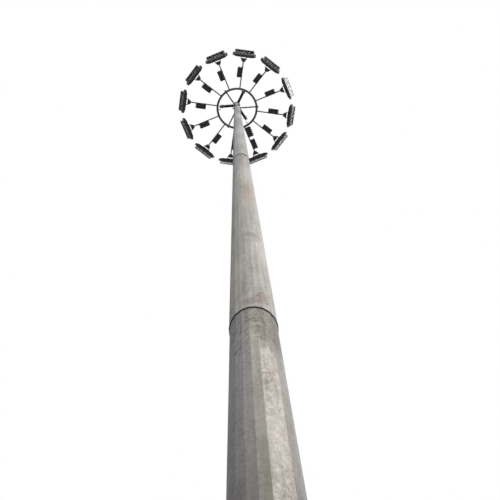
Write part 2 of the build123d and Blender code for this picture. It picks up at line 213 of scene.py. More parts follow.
def zinc(name, bright, dull, roughness=0.55, metallic=0.1, gloss=0.5, cloud=CLOUD):
    """Weathered hot-dip zinc: crystals, clouds of carbonate and the narrow runs of rain, taken together.

    Every pattern's scale is one over its real size. Clouds are three times as tall, and runs thirty times.
    Gives the material, its tree and Object coordinates, and the nodes of its colour and its shader.
    """
    material, tree, here = new_material(name)
    crystals = add(tree, "TexVoronoi", Vector=here, Scale=1 / CRYSTAL)
    shade = add(tree, "SeparateColor", Color=crystals.outputs["Color"]).outputs
    tall = add(tree, "Mapping", Vector=here, Scale=(1, 1, 0.3))
    clouds = add(tree, "TexNoise", Vector=tall, Scale=1 / cloud, Detail=7, Roughness=0.62)
    drawn = add(tree, "Mapping", Vector=here, Scale=(1, 1, 0.035))
    runs = add(tree, "TexNoise", Vector=drawn, Scale=1 / RUN_WIDTH, Detail=3)
    grain = add(tree, "TexNoise", Vector=tall, Scale=1 / 0.01667, Detail=3, Roughness=0.6)
    tone = -0.2
    for source, weight in ((clouds, 0.95), (runs, 0.45), (grain, 0.4), (shade["Red"], 0.16)):
        tone = add(tree, "Math", operation="MULTIPLY_ADD", Value=source, Value_001=weight, Value_002=tone)
    tone = add(tree, "MapRange", interpolation_type="SMOOTHSTEP", Value=tone, From_Min=0.45, From_Max=1.0)
    colour = add(tree, "Mix", data_type="RGBA", Factor_Float=tone, A_Color=dull, B_Color=bright)
    rough = add(tree, "MapRange", Value=shade["Green"], To_Min=roughness - 0.05, To_Max=roughness + 0.06)
    relief = add(tree, "Bump", Strength=0.12, Distance=0.002, Height=grain)
    finish = {"Metallic": metallic, "Roughness": rough, "Specular_IOR_Level": gloss, "Normal": relief}
    shader = add(tree, "BsdfPrincipled", Base_Color=colour, **finish)
    add(tree, "OutputMaterial", Surface=shader)
    return material, tree, here, colour, shader


def dress(material, *nodes):
    """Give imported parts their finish."""
    for node in nodes:
        for holder in frame["nodes"][node].material_slots:
            holder.material = material


base_zinc = zinc("galvanised_plate", "#B4B1AB", "#86847F", roughness=0.58)[0]
dress(base_zinc, "base_flange", "base_gussets")

# ---------------- anchor bolts
# Ten M36 holding-down studs come up through the flange, each with a plate washer and two hexagon nuts. They
# are bare galvanised steel with a little rust bled at the threads.
STUD_RADIUS = 0.018
STUD_TOP = 0.105
THREAD_PITCH = 0.004
THREAD_DEPTH = 0.0014
WASHER = [(0.036, 0), (0.0375, 0.001), (0.0375, 0.005), (0.036, 0.006)]
NUT_FLATS = 0.055
NUT_HEIGHT = 0.028
LOCK_NUT_TURN = 0.3


def shell(loops, closed=False):
    """A closed skin through loops of points, one loop to a row: quads join each loop to the next.

    The first and last loops are closed flat, or joined to each other if closed. The sign of the volume
    within turns the faces outwards.
    """
    rows, columns = loops.shape[:2]
    index = np.arange(rows * columns).reshape(rows, columns)
    below = index if closed else index[:-1]
    above = np.roll(index, -1, axis=0) if closed else index[1:]
    quads = np.stack([below, np.roll(below, -1, 1), np.roll(above, -1, 1), above], axis=-1).reshape(-1, 4)
    points = loops.reshape(-1, 3)
    triangles = np.concatenate([quads[:, [0, 1, 2]], quads[:, [0, 2, 3]]])
    faces = quads.tolist()
    if not closed:
        for end in (index[0][::-1], index[-1]):
            faces.append(end.tolist())
            fan = np.stack([np.full(columns - 2, end[0]), end[1:-1], end[2:]], axis=1)
            triangles = np.concatenate([triangles, fan])
    a, b, c = points[triangles].transpose(1, 0, 2)
    if np.einsum("ij,ij->i", a, np.cross(b, c)).sum() < 0:
        faces = [face[::-1] for face in faces]
    return points, faces


def lathe(profile, sides=24):
    """A profile of (radius, height) points turned about Z."""
    radius, height = np.array(profile, float).T[:, :, None]
    return shell(about_z(radius, height, circle(sides)))


def hexagon(width, height):
    """A hexagon nut or bolt head: at each turn the flat's distance over the cosine from its middle, cut back
    at both ends by a cone."""
    turn = circle(24)
    edge = width / 2 / np.cos((turn + pi / 6) % (pi / 3) - pi / 6)
    cone = np.array([1.04, 1.2, 1.2, 1.04])[:, None] * width / 2
    rows = np.array([0, 0.08, 0.92, 1])[:, None] * height
    return shell(about_z(np.minimum(edge, cone), rows, turn))


def place(origin, z=(0, 0, 1), x=(1, 0, 0)):
    """A placement: its own Z and X directions in the object's frame, at an origin."""
    made = np.eye(4)
    made[:3] = np.stack([x, np.cross(z, x), z, origin], axis=1)
    return made


def turns(angles):
    """Placements turned about the mast's axis by angles in radians."""
    return np.array([place((0, 0, 0), x=(cos(angle), sin(angle), 0)) for angle in np.atleast_1d(angles)])


def copies(shape, places):
    """A shape repeated at each placement, as one shape."""
    points, faces = shape
    places = np.reshape(places, (-1, 4, 4))
    moved = np.einsum("kij,nj->kni", places[:, :3, :3], points) + places[:, None, :3, 3]
    shifts = np.arange(len(places)) * len(points)
    return moved.reshape(-1, 3), [[corner + shift for corner in face] for shift in shifts for face in faces]


def piece(name, shape, material, body=None):
    """One mesh object from a shape, smooth but for its sharp edges, that rides on a body."""
    mesh = bpy.data.meshes.new(name)
    mesh.from_pydata(shape[0].tolist(), [], shape[1])
    mesh.materials.append(material)
    mesh.shade_smooth()
    mesh.set_sharp_from_angle(angle=radians(38))
    made = set_up(name, mesh)
    if body:
        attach(made, body)
    return made


def layer(under, tint, *reaches, blend="MULTIPLY"):
    """The colour under it with a layer of rust, dirt, bloom, painted shade or painted highlight, as dense as its
    reaches multiplied.

    A reach is a value, where on it the layer starts and is full, and perhaps how dense it is at both.
    """
    tree = under.id_data
    cover = 1.0
    for value, *ends in reaches:
        ends = dict(zip(("From_Min", "From_Max", "To_Min", "To_Max"), ends))
        reach = add(tree, "MapRange", interpolation_type="SMOOTHSTEP", Value=value, **ends)
        cover = add(tree, "Math", operation="MULTIPLY", Value=reach, Value_001=cover)
    kind = {"data_type": "RGBA", "blend_type": blend}
    return add(tree, "Mix", Factor_Float=cover, A_Color=under, B_Color=tint, **kind)


def rusted(name, sound, rust, cover):
    """Zinc with iron rust breaking through where a fine noise passes a level."""
    material, tree, here, colour, shader = zinc(name, sound, sound, roughness=0.5, metallic=0.35)
    spots = add(tree, "TexNoise", Vector=here, Scale=1 / 0.02222, Detail=6, Roughness=0.7)
    colour = layer(colour, rust, (spots, 0.66 - cover, 0.8 - cover), blend="MIX")
    tree.links.new(colour.outputs["Result"], shader.inputs["Base Color"])
    return material


def threaded(radius, pitch, depth, length):
    """A threaded rod drawn as rings: its radius drops by the thread's depth on every second row."""
    rows = np.arange(0, length, pitch / 2)
    radii = radius - depth * (np.arange(len(rows)) % 2)
    profile = np.column_stack([radii, rows]).tolist()
    return lathe(profile + [(radius - depth, length), (0.6 * radius, length + 0.3 * radius)], sides=20)


pattern = next(mount for mount in frame["record"]["mounts"] if mount["kind"] == "bolt_pattern")["dims"]
bolt_turns = circle(pattern["count"]) + pi / pattern["count"]
flange_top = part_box("base_flange")[1].z
bolt_places = turns(bolt_turns) @ place((pattern["pcd_mm"] / 2000, 0, flange_top))
washer_top = WASHER[-1][1]
lock_nut = turns(LOCK_NUT_TURN) @ place((0, 0, washer_top + NUT_HEIGHT + 0.001))
nut_places = np.concatenate([bolt_places @ place((0, 0, washer_top)), bolt_places @ lock_nut])
stud = threaded(STUD_RADIUS, THREAD_PITCH, THREAD_DEPTH, STUD_TOP)
anchor_zinc = rusted("galvanised_fastener_steel", "#9C9A95", "#7A4A2C", cover=0.02)
piece("anchor_washers", copies(lathe(WASHER, 32), bolt_places), anchor_zinc, "mast")
piece("anchor_studs", copies(stud, bolt_places), anchor_zinc, "mast")
piece("anchor_nuts", copies(hexagon(NUT_FLATS, NUT_HEIGHT), nut_places), anchor_zinc, "mast")

# ---------------- foot welds
# Fillet welds run round the shaft's foot and along both sides of every gusset. They are the plate's own
# steel, laid in close ripples and galvanised over.
SIDES = 20
SHAFT_TAPER = 0.0168
BEAD = 0.006
GUSSET_BEAD = 0.0045
RIPPLE = 0.009
GUSSET_HALF = 0.007
GUSSET_TOE = 0.436
GUSSET_TOP = 0.286


def tube(path, across, radius, sides=8, closed=False, lobes=1.0):
    """A bead along a flat path: at each point a ring spanned by its normal and the unit direction across it.

    The radius may be one number, one for each of those two directions, or a column with one for each point.
    Lobes are a factor of it for each point and turn.
    """
    ahead = np.roll(path, -1, 0) - np.roll(path, 1, 0) if closed else np.gradient(path, axis=0)
    normal = np.cross(across, ahead)
    normal /= np.linalg.norm(normal, axis=1)[:, None]
    out, along = np.broadcast_to(radius, (len(path), 2)).T[:, :, None, None]
    turn = circle(sides)[:, None]
    ring = out * np.cos(turn) * normal[:, None] + along * np.sin(turn) * np.array(across)
    return shell(path[:, None] + ring * np.reshape(lobes, np.shape(lobes) + (1,)), closed)


def distances(path):
    """How far along a path each of its points lies."""
    return np.concatenate([[0], np.cumsum(np.linalg.norm(np.diff(path, axis=0), axis=1))])


def spaced(corners, step, closed=False):
    """Points at even steps along a line through corners."""
    corners = np.array(corners, float)
    if closed:
        corners = np.concatenate([corners, corners[:1]])
    along = distances(corners)
    wanted = np.linspace(0, along[-1], int(along[-1] / step) + 1)[: -1 if closed else None]
    return np.stack([np.interp(wanted, along, corners[:, axis]) for axis in range(3)], axis=1)


def rippled(path, across, size, closed=False):
    """A weld bead: a tube whose radius swells and shrinks by an eighth from point to point."""
    swell = 1 + 0.12 * np.cos(np.arange(len(path)) * pi)
    return tube(path, across, (size * swell)[:, None], 6, closed)


def weld(corners, across, size=BEAD, closed=False):
    """A weld bead along a line through corners."""
    return rippled(spaced(corners, RIPPLE / 2, closed), across, size, closed)


def flats(node, height):
    """Width across flats of a shaft section at a height."""
    low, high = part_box(node)
    return high.y - low.y - SHAFT_TAPER * (height - low.z)


def outline(width, height):
    """The corners of the shaft's outline, of a width across flats, at a height."""
    return about_z(width / 2 / cos(pi / SIDES), height, circle(SIDES) + pi / SIDES)


def joined(*shapes):
    """Several shapes as one."""
    faces = []
    count = 0
    for points, its_faces in shapes:
        faces += [[corner + count for corner in face] for face in its_faces]
        count += len(points)
    return np.concatenate([points for points, its_faces in shapes]), faces


foot_width = flats("mast_section_lower", flange_top)
foot_weld = weld(outline(foot_width, flange_top), (0, 0, 1), closed=True)
gusset_beads = []
for side in (-GUSSET_HALF, GUSSET_HALF):
    root = (foot_width / 2, side, flange_top)
    bead = [(GUSSET_TOE, side, flange_top), root, (foot_width / 2 - 0.002, side, GUSSET_TOP)]
    gusset_beads.append(weld(bead, (0, 1, 0), GUSSET_BEAD))
gusset_welds = copies(joined(*gusset_beads), turns(circle(pattern["count"])))
piece("foot_welds", joined(foot_weld, gusset_welds), base_zinc, "mast")

# ---------------- shaft sections
# Three tubes pressed from steel plate to twenty flats, seam welded, hot-dip galvanised and driven one over
# the next. The zinc has gone matt, with stains, pale bloom and runs, each flat a little different in tone,
# and the front flats carry painted shade and painted highlight.
FACET = 2 * pi / SIDES
lower_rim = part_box("mast_section_middle")[0].z
upper_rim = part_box("mast_section_upper")[0].z

# Painted shade and painted highlight on the front flats, one colour to a flat, from left to right
LOWER_FLAT_SHADE_AND_HIGHLIGHT = (
    "#C5C5C9", "#B9BCC2", "#B8BCC2", "#C2C2C7", "#CFCDD1", "#E7E8E4", "#F8F7F6", "#F6F1F1",
    "#C4C4C6", "#BFBFC1", "#CBCBCB",
)
UPPER_FLAT_SHADE_AND_HIGHLIGHT = (
    "#D4D4D7", "#D2D4D9", "#D9DBE0", "#F1F1F2", "#F3F3F3", "#F1F1F1", "#F0F0F0", "#ECECEC",
    "#E8E8EA", "#E5E5E7", "#E7E7E7",
)

# Turn to the right of the door and height of a stain's middle, half its width and height, colour, cover
STAINS = (
    (15, 16.25, 24, 0.9, "#B4906C", 0.42),
    (24, 13.55, 40, 0.16, "#8A8376", 0.5),
    (33, 13.10, 7, 0.10, "#D9D4CB", 0.6),
    (26, 10.80, 22, 0.27, "#8A7261", 0.6),
    (-2, 10.66, 36, 0.15, "#857569", 0.5),
    (-45, 9.38, 8, 0.06, "#56534F", 0.7),
    (-32, 9.4, 10, 0.045, "#6A6762", 0.55),
    (-6, 9.62, 22, 0.05, "#D4CFC6", 0.4),
    (9, 9.95, 15, 0.04, "#D4CFC6", 0.4),
    (4, 7.1, 13, 0.55, "#7C7B66", 0.45),
    (-4, 8.3, 9, 0.5, "#857D6E", 0.3),
    (100, 4.2, 20, 1.1, "#8E7E69", 0.4),
    (170, 14.8, 18, 0.9, "#A98B6B", 0.35),
    (-120, 6.5, 25, 1.0, "#7C7B66", 0.4),
    (-150, 23.0, 30, 0.8, "#8E897E", 0.35),
)


def shaft_zinc():
    """Weathered zinc with stains, whose tone differs at random from flat to flat and section to section,
    with painted shade and painted highlight on its front flats, a bluish painted sky light high up and a
    painted shade line under each rim.
    """
    made = zinc("weathered_hot_dip_galvanised_steel", "#D6D1CA", "#9E9A94", 0.7, metallic=0.0, gloss=0.15)
    material, tree, here, colour, shader = made
    squat = add(tree, "Mapping", Vector=here, Scale=(1, 1, 0.45))
    at = add(tree, "SeparateXYZ", Vector=here).outputs
    height = at["Z"]
    front = add(tree, "Math", operation="MULTIPLY", Value=at["Y"], Value_001=-1.0)
    turn = add(tree, "Math", operation="ARCTAN2", Value=at["X"], Value_001=front)
    flat = add(tree, "Math", operation="DIVIDE", Value=turn, Value_001=FACET)
    flat = add(tree, "Math", operation="ROUND", Value=flat)

    # Each flat of each section has its own random tone, and the front flats also a colour of painted shade and
    # painted highlight.
    seed = flat
    for rim in (lower_rim, upper_rim):
        above = add(tree, "Math", operation="GREATER_THAN", Value=height, Value_001=rim)
        seed = add(tree, "Math", operation="MULTIPLY_ADD", Value=above, Value_001=31.7, Value_002=seed)
    chance = add(tree, "TexWhiteNoise", noise_dimensions="1D", W=seed).outputs["Value"]
    colour = layer(colour, "#C4C4C5", (chance, 0, 1, 0, 0.22))
    for painted_flat_colours, side in ((LOWER_FLAT_SHADE_AND_HIGHLIGHT, -0.001), (UPPER_FLAT_SHADE_AND_HIGHLIGHT, 0.001)):
        edge = len(painted_flat_colours) / 2
        painted_flat_colour = add(tree, "ValToRGB", Fac=add(tree, "MapRange", Value=flat, From_Min=-edge, From_Max=edge))
        painted_flat_colour.color_ramp.interpolation = "CONSTANT"
        painted_flat_colour.color_ramp.elements.remove(painted_flat_colour.color_ramp.elements[1])
        painted_flat_colour.color_ramp.elements[0].color = linear(painted_flat_colours[0])
        for number, tint in enumerate(painted_flat_colours[1:], 1):
            painted_flat_colour.color_ramp.elements.new(number / len(painted_flat_colours)).color = linear(tint)
        colour = layer(colour, painted_flat_colour, (height, lower_rim - side, lower_rim + side))

    # Just under the lower joint the flats right of the door are darkened, and all are mottled. Below, the zinc
    # darkens towards the bottom on all but the two flats right of the door, which carry the painted highlight.
    highlight_flats = add(tree, "Math", operation="COMPARE", Value=flat, Value_001=1.5, Value_002=0.6)
    under_joint = (height, lower_rim - 1.25, lower_rim - 0.8), (height, lower_rim + 0.001, lower_rim - 0.001)
    open_face = (height, lower_rim - 0.8, lower_rim - 1.25)
    mottle = add(tree, "TexNoise", Vector=squat, Scale=1 / 0.03571, Detail=6, Roughness=0.7)
    colour = layer(colour, "#CECBC8", *under_joint, (flat, 0.4, 0.6), (flat, 5.6, 5.4))
    colour = layer(colour, "#BCB8B7", *under_joint, (mottle, 0.45, 0.68))
    colour = layer(colour, "#E7E6E6", (height, lower_rim - 1.0, lower_rim - 3.6), (highlight_flats, 0.6, 0.4))
    colour = layer(colour, "#E9E8E7", (height, lower_rim - 3.1, lower_rim - 3.7))

    # Fine pale bloom, dark flecks and brown wear break up the two flats with the painted highlight, the first of
    # them most.
    bare = add(tree, "MapRange", Value=flat, From_Min=1, From_Max=2, To_Min=1.0, To_Max=0.67)
    bare = add(tree, "Math", operation="MULTIPLY", Value=bare, Value_001=highlight_flats)
    bloom = add(tree, "TexNoise", Vector=squat, Scale=1 / 0.04545, Detail=8, Roughness=0.72, Distortion=0.3)
    flecks = add(tree, "TexNoise", Vector=squat, Scale=1 / 0.01429, Detail=4, Roughness=0.7)
    wear = add(tree, "TexNoise", Vector=squat, Scale=1 / 0.125, Detail=5, Roughness=0.65)
    worn = (wear, 0.48, 0.62), (bare, 0, 1), (height, lower_rim - 2.4, lower_rim - 1.9)
    colour = layer(colour, "#F0E9DE", (bloom, 0.44, 0.66), open_face, (bare, 0, 1, 0.08, 0.72), blend="MIX")
    colour = layer(colour, "#AEA49A", (flecks, 0.56, 0.7), (bare, 0, 1, 0.2, 0.95))
    colour = layer(colour, "#CEC7C1", *worn, open_face)

    # A stain fades with the distance from its middle in its own half width and height, which a noise frays.
    ragged = add(tree, "TexNoise", Vector=squat, Scale=1 / 0.1111, Detail=6, Roughness=0.65)
    ragged = add(tree, "Math", operation="MULTIPLY_ADD", Value=ragged, Value_001=1.6, Value_002=-0.8)
    unrolled = add(tree, "CombineXYZ", X=turn, Y=height)
    for stain_turn, middle, half_turn, half_height, tint, cover in STAINS:
        centre = (radians(stain_turn), middle, 0)
        halves = (radians(half_turn), half_height, 1)
        away = add(tree, "VectorMath", operation="SUBTRACT", Vector=unrolled, Vector_001=centre)
        away = add(tree, "VectorMath", operation="DIVIDE", Vector=away, Vector_001=halves)
        away = add(tree, "VectorMath", operation="LENGTH", Vector=away).outputs["Value"]
        away = add(tree, "Math", operation="ADD", Value=away, Value_001=ragged)
        colour = layer(colour, tint, (away, 1.15, 0.35, 0, cover), blend="MIX")

    # Higher up the zinc is tinted bluer, a painted haze of sky light. Rust specks sit just above the lower
    # joint, most on the right, and a painted shade line lies under each rim.
    colour = layer(colour, "#F7F9FF", (height, 16, 26))
    specks = add(tree, "TexVoronoi", Vector=here, Scale=1 / 0.09091).outputs["Distance"]
    near_joint = (height, lower_rim + 1.2, lower_rim + 0.5), (height, lower_rim - 0.001, lower_rim + 0.001)
    on_right = (turn, radians(5), radians(14), 0.4, 1.0)
    colour = layer(colour, "#4E4038", (specks, 0.2, 0.12), *near_joint, on_right, blend="MIX")
    # Painted shade: a dark band just under each rim, where the section above overhangs.
    for rim, deep in ((lower_rim, 0.05), (upper_rim, 0.06)):
        colour = layer(colour, "#817E7C", (height, rim - deep, rim - 0.4 * deep), (height, rim + 0.001, rim))
    tree.links.new(colour.outputs["Result"], shader.inputs["Base Color"])
    return material


weathered = shaft_zinc()
dress(weathered, "mast_section_lower", "mast_section_middle", "mast_section_upper")

# ---------------- shaft seams
# Each section is closed by one long weld up a flat at the back, ground low before galvanising. The middle
# section's seam is two flats to one side of the lower one's, and the upper section's two to the other.
SEAM_HALF_WIDTH = 0.007
SEAM_HEIGHT = 0.0018
mast_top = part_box("mast_section_upper")[1].z


def seam(node, foot, top, turn):
    """A low bead up the middle of a flat, from foot to top, as far out as the flat is there."""
    heights = np.linspace(foot, top, 60)
    path = np.stack([flats(node, heights) / 2, heights * 0, heights], axis=1)
    return copies(tube(path, (0, 1, 0), (SEAM_HEIGHT, SEAM_HALF_WIDTH)), turns(turn))


seams = joined(
    seam("mast_section_lower", flange_top + BEAD, lower_rim, pi / 2),
    seam("mast_section_middle", lower_rim, upper_rim, pi / 2 + 2 * FACET),
    seam("mast_section_upper", upper_rim, mast_top, pi / 2 - 2 * FACET),
)
piece("shaft_seams", seams, weathered, "mast")

# ---------------- slip joint seals
# A bead of bitumen mastic, gunned on by hand, closes each slip joint under the rim of the upper tube. It
# has set near black, softly lumpy and half matt.
LOWER_SEAL = (0.0065, 0.010)
UPPER_SEAL = (0.006, 0.010)


def mottled(name, dark, pale, size, detail=3, roughness=0.5, lumps=0.0, **finish):
    """Moulded, printed or greasy stuff in two tones that a noise mixes, raised by it in lumps if wanted."""
    material, tree, here = new_material(name)
    noise = add(tree, "TexNoise", Vector=here, Scale=1 / size, Detail=detail)
    if lumps:
        finish["Normal"] = add(tree, "Bump", Strength=0.4, Distance=lumps, Height=noise)
    colour = add(tree, "Mix", data_type="RGBA", Factor_Float=noise, A_Color=dark, B_Color=pale)
    shader = add(tree, "BsdfPrincipled", Base_Color=colour, Roughness=roughness, **finish)
    add(tree, "OutputMaterial", Surface=shader)
    return material


def seal(node, rim, size):
    """A bead round a section just under the next one's rim."""
    out, up = size
    ring = outline(flats(node, rim) + 2 * (out - 0.002), rim - 0.7 * up)
    return tube(ring, (0, 0, 1), size, 10, closed=True)


lower_seal = seal("mast_section_lower", lower_rim, LOWER_SEAL)
upper_seal = seal("mast_section_middle", upper_rim, UPPER_SEAL)
mastic = mottled("bitumen_mastic", "#161615", "#3A3835", size=0.03333, detail=4, roughness=0.6, lumps=0.003)
piece("slip_joint_seals", joined(lower_seal, upper_seal), mastic, "mast")

# ---------------- service door
# A welded bar frame with a flush cover plate, whose zinc is cleaner than the shaft's. Two triangular-key
# locks of dulled plated steel hold it on a gasket of moulded EPDM rubber, black with a grey bloom.
LOCK_BOSS = 0.006
LOCK_INSET = 0.178
DOOR_BEAD = 0.005

door_zinc = zinc("galvanised_door_plate", "#B9B6B0", "#93918C", roughness=0.5, metallic=0.15, cloud=0.2)[0]
dress(door_zinc, "door_frame", "door_panel")
panel_low, panel_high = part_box("door_panel")
frame_low, frame_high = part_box("door_frame")


def rectangle(low, high, y, grow):
    """The corners of an upright rectangle round two corners, grown by a margin."""
    x0, x1, z0, z1 = low.x - grow, high.x + grow, low.z - grow, high.z + grow
    return [(x0, y, z0), (x1, y, z0), (x1, y, z1), (x0, y, z1)]


epdm = mottled("epdm_rubber", "#1B1B1C", "#353536", size=0.01667, detail=5, roughness=0.75)
gasket_y = panel_low.y + LOCK_BOSS + 0.0025
gasket = spaced(rectangle(panel_low, panel_high, gasket_y, 0.001), 0.02, closed=True)
piece("door_gasket", tube(gasket, (0, 1, 0), (0.0012, 0.002), 6, closed=True), epdm, "mast")

lock_ring = lathe([(0.0125, 0), (0.0125, 0.0022), (0.0115, 0.003), (0.0085, 0.003), (0.0078, 0.0006)], 28)
lock_key = lathe([(0.0055, 0), (0.0055, 0.0028), (0.0045, 0.0034)], 3)
lock_heights = (panel_low.z + LOCK_INSET, panel_high.z - LOCK_INSET)
lock_places = [place((0, panel_low.y, z), z=(0, -1, 0)) for z in lock_heights]
lock_steel = rusted("zinc_plated_lock_steel", "#A9A59A", "#6B5A48", cover=0.0)
piece("door_locks", copies(joined(lock_ring, lock_key), lock_places), lock_steel, "mast")


def shaft_face(x, z):
    """How far forward the lower section stands at each x and height: the nearest of the planes of its front
    flats, each at its own turn."""
    half = flats("mast_section_lower", z) / 2
    planes = [(half - np.abs(x) * sin(turn)) / cos(turn) for turn in (0, FACET, 2 * FACET)]
    return -np.minimum.reduce(planes)


door_path = spaced(rectangle(frame_low, frame_high, 0, 0.001), 0.005, closed=True)
door_path[:, 1] = shaft_face(door_path[:, 0], door_path[:, 2])
piece("door_frame_weld", rippled(door_path, (0, 1, 0), DOOR_BEAD, closed=True), door_zinc, "mast")

# ---------------- earth terminal
# A round boss welded low on the shaft takes an M12 earthing stud with two washers and a nut, all of the
# anchors' galvanised fastener steel.
EARTH_TURN = 2 * FACET - pi / 2
EARTH_HEIGHT = 0.42


def raised(shape, height):
    """A shape moved up its own axis."""
    return copies(shape, place((0, 0, height)))


def facing_out(x, spots):
    """Placements that face along X, at a distance, for each spot across and up."""
    return [place((x, y, z), z=(1, 0, 0), x=(0, 1, 0)) for y, z in spots]


earth_face = flats("mast_section_lower", EARTH_HEIGHT) / 2
earth_washer = lathe([(0.012, 0), (0.012, 0.0025)])
earth = joined(
    lathe([(0.019, -0.002), (0.017, 0.001), (0.017, 0.012), (0.016, 0.013)], 28),
    raised(earth_washer, 0.013),
    raised(earth_washer, 0.0165),
    raised(hexagon(0.019, 0.010), 0.019),
    raised(threaded(0.006, 0.00175, 0.0007, 0.026), 0.012),
)
earth_place = turns(EARTH_TURN) @ facing_out(earth_face, [(0, EARTH_HEIGHT)])
piece("earth_terminal", copies(earth, earth_place), anchor_zinc, "mast")

# ---------------- head frame
# Three folded channels on a round plate carry the rope pulleys, under a spun weather cap. Plate and cap are
# pale zinc, and the turned sheaves rust a little. The channels' zinc is made near black: painted shade.
ROPE_CIRCLE = 0.470
SHEAVE_PATH = 0.0523
ARM_HALF = 0.034
ARM_BEAD = 0.005

# Painted shade: the channels, and the docking frame with them, are made near black, as seen from below against the
# sky.
painted_shade_channel_zinc = zinc("sooty_galvanised_channel", "#5B5C5E", "#3C3C3D", roughness=0.62, cloud=0.15)[0]
plate_zinc = zinc("galvanised_head_plate", "#C9CACB", "#9A9B9C", 0.6, metallic=0.05, cloud=0.15)[0]
cap_zinc = zinc("spun_cap_zinc", "#AFAEAB", "#8B8A87", roughness=0.5, metallic=0.2, cloud=0.2)[0]
dress(painted_shade_channel_zinc, "pulley_arms")
dress(plate_zinc, "head_plate")
dress(cap_zinc, "mast_cap")
dress(rusted("turned_sheave_steel", "#77746E", "#5E4636", cover=0.04), "pulley_sheaves")

head_thirds = turns(radians(60) + circle(3))
arm_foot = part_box("pulley_arms")[0].z
rope_low, rope_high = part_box("hoist_ropes")
sheave_r = ROPE_CIRCLE - SHEAVE_PATH
sheave_z = rope_high.z

axle_end = joined(
    lathe([(0.019, 0), (0.019, 0.003)], 28),
    raised(hexagon(0.030, 0.014), 0.003),
    raised(threaded(0.010, 0.0025, 0.0009, 0.008), 0.015),
)


def both_sides(radius, half, height):
    """Placements facing out from both sides of an arm, at a radius from the mast's axis."""
    return [place((radius, side * half, height), z=(0, side, 0), x=(side, 0, 0)) for side in (-1, 1)]


axle_ends = copies(axle_end, both_sides(sheave_r, ARM_HALF, sheave_z))
piece("sheave_axle_nuts", copies(axle_ends, head_thirds), anchor_zinc, "mast")

arm_feet = [[(0.052, side, arm_foot), (0.082, side, arm_foot)] for side in (-ARM_HALF, ARM_HALF)]
arm_beads = joined(*[weld(foot, (0, 1, 0), ARM_BEAD) for foot in arm_feet])
piece("pulley_arm_welds", copies(arm_beads, head_thirds), painted_shade_channel_zinc, "mast")

# ---------------- docking frame
# A three-part collar is bolted round the shaft, and three pipes with pads stop the lamp ring at the top.
# All are galvanised pipe and bar, made as dark as the pulley channels with painted shade.
LUG_INNER = 0.004
LUG_OUTER = 0.013
LUG_REACH = 0.034
LUG_HALF_HEIGHT = 0.024

dress(painted_shade_channel_zinc, "docking_collar", "docking_arms")
collar_low, collar_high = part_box("docking_collar")
collar_r = collar_high.x
collar_z = (collar_low.z + collar_high.z) / 2


def rounded_block(low, high, radius, steps=3):
    """A box with rounded edges: each row is a rounded rectangle, whose corners' arcs shrink with the cosine
    of the row's slope as the row nears the box's foot or top."""
    low, high = np.array((low, high), float)
    steepest = radians(78)
    slope = np.linspace(0, steepest, steps)
    slope = np.concatenate([-slope[::-1], slope])[:, None]
    half_of_row = np.repeat([-1, 1], steps)[:, None]
    corner = np.repeat([[1, 1], [-1, 1], [-1, -1], [1, -1]], steps, axis=0)
    turn = (np.arange(4)[:, None] * pi / 2 + np.linspace(0, pi / 2, steps)).ravel()
    middle, half = (low + high) / 2, (high - low) / 2
    arc = radius * np.cos(slope)
    x = corner[:, 0] * (half[0] - radius) + arc * np.cos(turn)
    y = corner[:, 1] * (half[1] - radius) + arc * np.sin(turn)
    z = half_of_row * (half[2] - radius + radius * np.abs(np.sin(slope)) / sin(steepest))
    return shell(np.stack(np.broadcast_arrays(x, y, z), axis=-1) + middle)


def bolt(width, head, shank, length, tail):
    """A hexagon bolt along Z with its head's underside at zero: head, shank through the work, and nut."""
    nut = raised(hexagon(width, head * 1.2), length)
    return joined(raised(hexagon(width, head), -head), lathe([(shank, 0), (shank, length + tail)], 12), nut)


clamp_lugs = []
for near, far in ((LUG_INNER, LUG_OUTER), (-LUG_OUTER, -LUG_INNER)):
    low = (collar_r - 0.006, near, collar_z - LUG_HALF_HEIGHT)
    clamp_lugs.append(rounded_block(low, (collar_r + LUG_REACH, far, collar_z + LUG_HALF_HEIGHT), 0.0015))
clamp_bolt = bolt(0.019, 0.0075, 0.006, 2 * LUG_OUTER, 0.012)
clamp_places = [place((collar_r + 0.018, LUG_OUTER, collar_z + z), z=(0, -1, 0)) for z in (-0.012, 0.012)]
clamp = joined(*clamp_lugs, copies(clamp_bolt, clamp_places))
piece("collar_clamps", copies(clamp, head_thirds), painted_shade_channel_zinc, "mast")

# ---------------- hoist ropes
# Three 8 mm galvanised wire ropes of six strands hold the ring from the sheaves: greasy dark, with a dull
# gleam of metal. They stretch as the ring is winched down, so each is one skin from sheave to socket.
ROPE_RADIUS = 0.004
STRANDS = 6
LAY = 0.052
HEAD_DROP = 0.018
HEAD_BEND = 0.035

wire = mottled("greased_wire_rope", "#2E2D2B", "#6F6D69", size=0.008333, Metallic=0.5)


def rope(path):
    """A laid rope along a path in the plane of X and Z: its section has a lobe for each strand, and turns
    once in every lay."""
    turned = circle(24) + 2 * pi * distances(path)[:, None] / LAY
    lobes = 0.8 + 0.2 * np.abs(np.cos(STRANDS / 2 * turned))
    return tube(path, (0, 1, 0), ROPE_RADIUS, 24, lobes=lobes)


def head_run():
    """The rope's way over its sheave and inwards: a quarter circle, a level run, a bend and a drop."""
    over = np.linspace(0, pi / 2, 16)
    bend = np.linspace(0, pi / 2, 10)
    top = sheave_z + SHEAVE_PATH
    over_r, over_z = sheave_r + SHEAVE_PATH * np.cos(over), sheave_z + SHEAVE_PATH * np.sin(over)
    bend_r, bend_z = HEAD_DROP + HEAD_BEND * (1 - np.sin(bend)), top - HEAD_BEND * (1 - np.cos(bend))
    r = np.concatenate([over_r, np.linspace(0.40, 0.06, 40), bend_r, [HEAD_DROP]])
    z = np.concatenate([over_z, np.full(40, top), bend_z, [mast_top - 0.02]])
    return np.stack([r, r * 0, z], axis=1)


